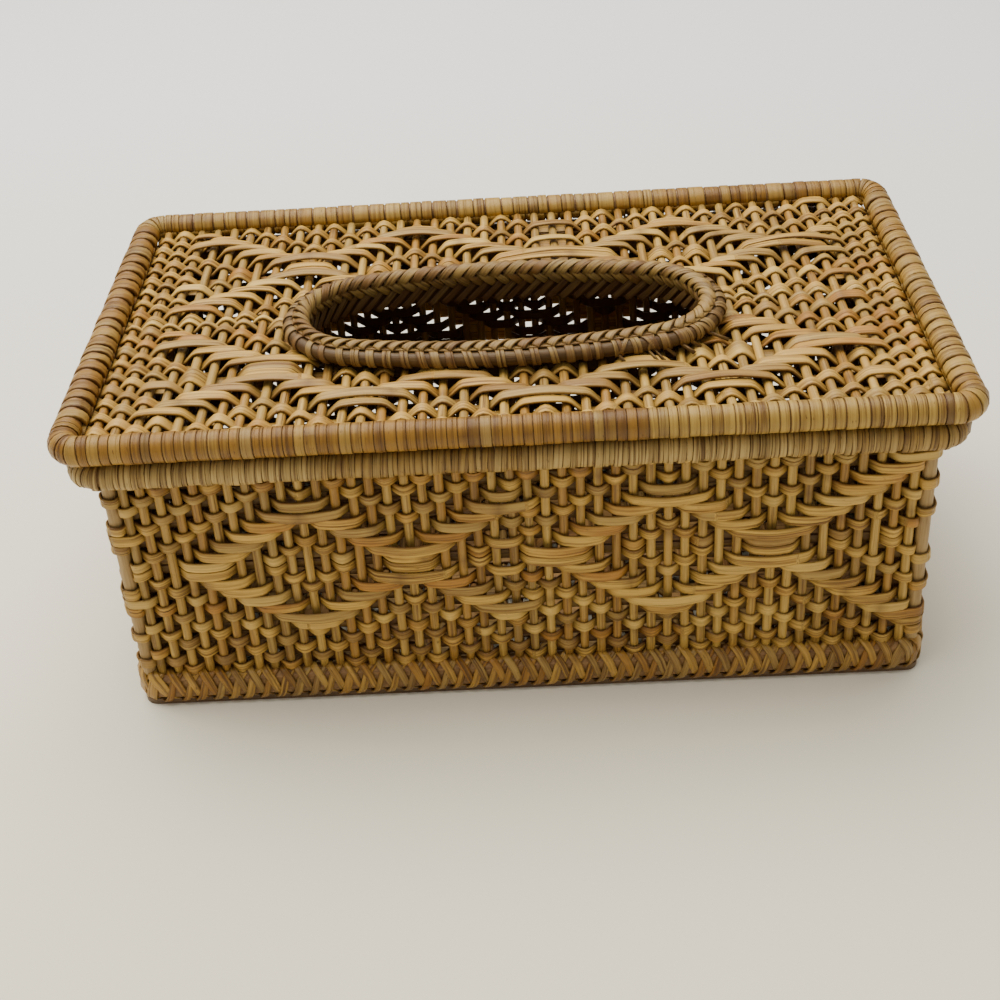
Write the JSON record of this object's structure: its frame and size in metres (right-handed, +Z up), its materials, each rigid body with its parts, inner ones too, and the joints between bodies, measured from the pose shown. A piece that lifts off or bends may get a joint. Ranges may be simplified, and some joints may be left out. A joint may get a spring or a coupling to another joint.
{
  "type": "tissue box cover",
  "caption": "Woven rattan tissue box cover: a rectangular twill-woven box with a lift-off lid, a wrapped rim and an oval opening with a plaited edge.",
  "frame": {"origin": "on the ground under the middle of the cover", "axes": "+X along the long side, +Y from the front wall to the back wall, +Z up"},
  "size_m": [0.28, 0.165, 0.1116],
  "materials": {
    "dark_cane": "natural cane, satin",
    "amber_cane": "natural cane, satin",
    "foot_cane": "natural cane, satin",
    "stake_cane": "natural cane, satin",
    "flat_cane": "natural cane, satin",
    "rim_cane": "natural cane, satin",
    "frame_cane": "natural cane, satin",
    "ring_cane": "natural cane, satin",
    "plait_cane": "natural cane, satin"
  },
  "bodies": {
    "box": {"base_runner": "dark_cane", "foot_rail": "amber_cane", "foot_lashing": "foot_cane", "floor_stakes": "stake_cane", "floor_weave": "flat_cane", "corner_posts": "stake_cane", "front_stakes": "stake_cane", "back_stakes": "stake_cane", "left_stakes": "stake_cane", "right_stakes": "stake_cane", "front_weave": "flat_cane", "back_weave": "flat_cane", "left_weave": "flat_cane", "right_weave": "flat_cane", "rim_hoop": "amber_cane", "rim_inner_hoop": "amber_cane", "rim_wrap": "rim_cane"},
    "lid": {"lid_frame": "amber_cane", "lid_frame_wrap": "frame_cane", "lid_stakes": "stake_cane", "lid_weave_front": "flat_cane", "lid_weave_back": "flat_cane", "lid_twining": "flat_cane", "locating_band": "amber_cane", "opening_rod": "ring_cane", "opening_lashing": "ring_cane", "opening_collar": "ring_cane", "plait_core": "plait_cane", "opening_plait": "plait_cane"}
  },
  "joints": [
    {"name": "lid_lift", "type": "slide", "parent": "box", "child": "lid", "axis": [0, 0, 1], "range_m": [0, 0.12]}
  ]
}
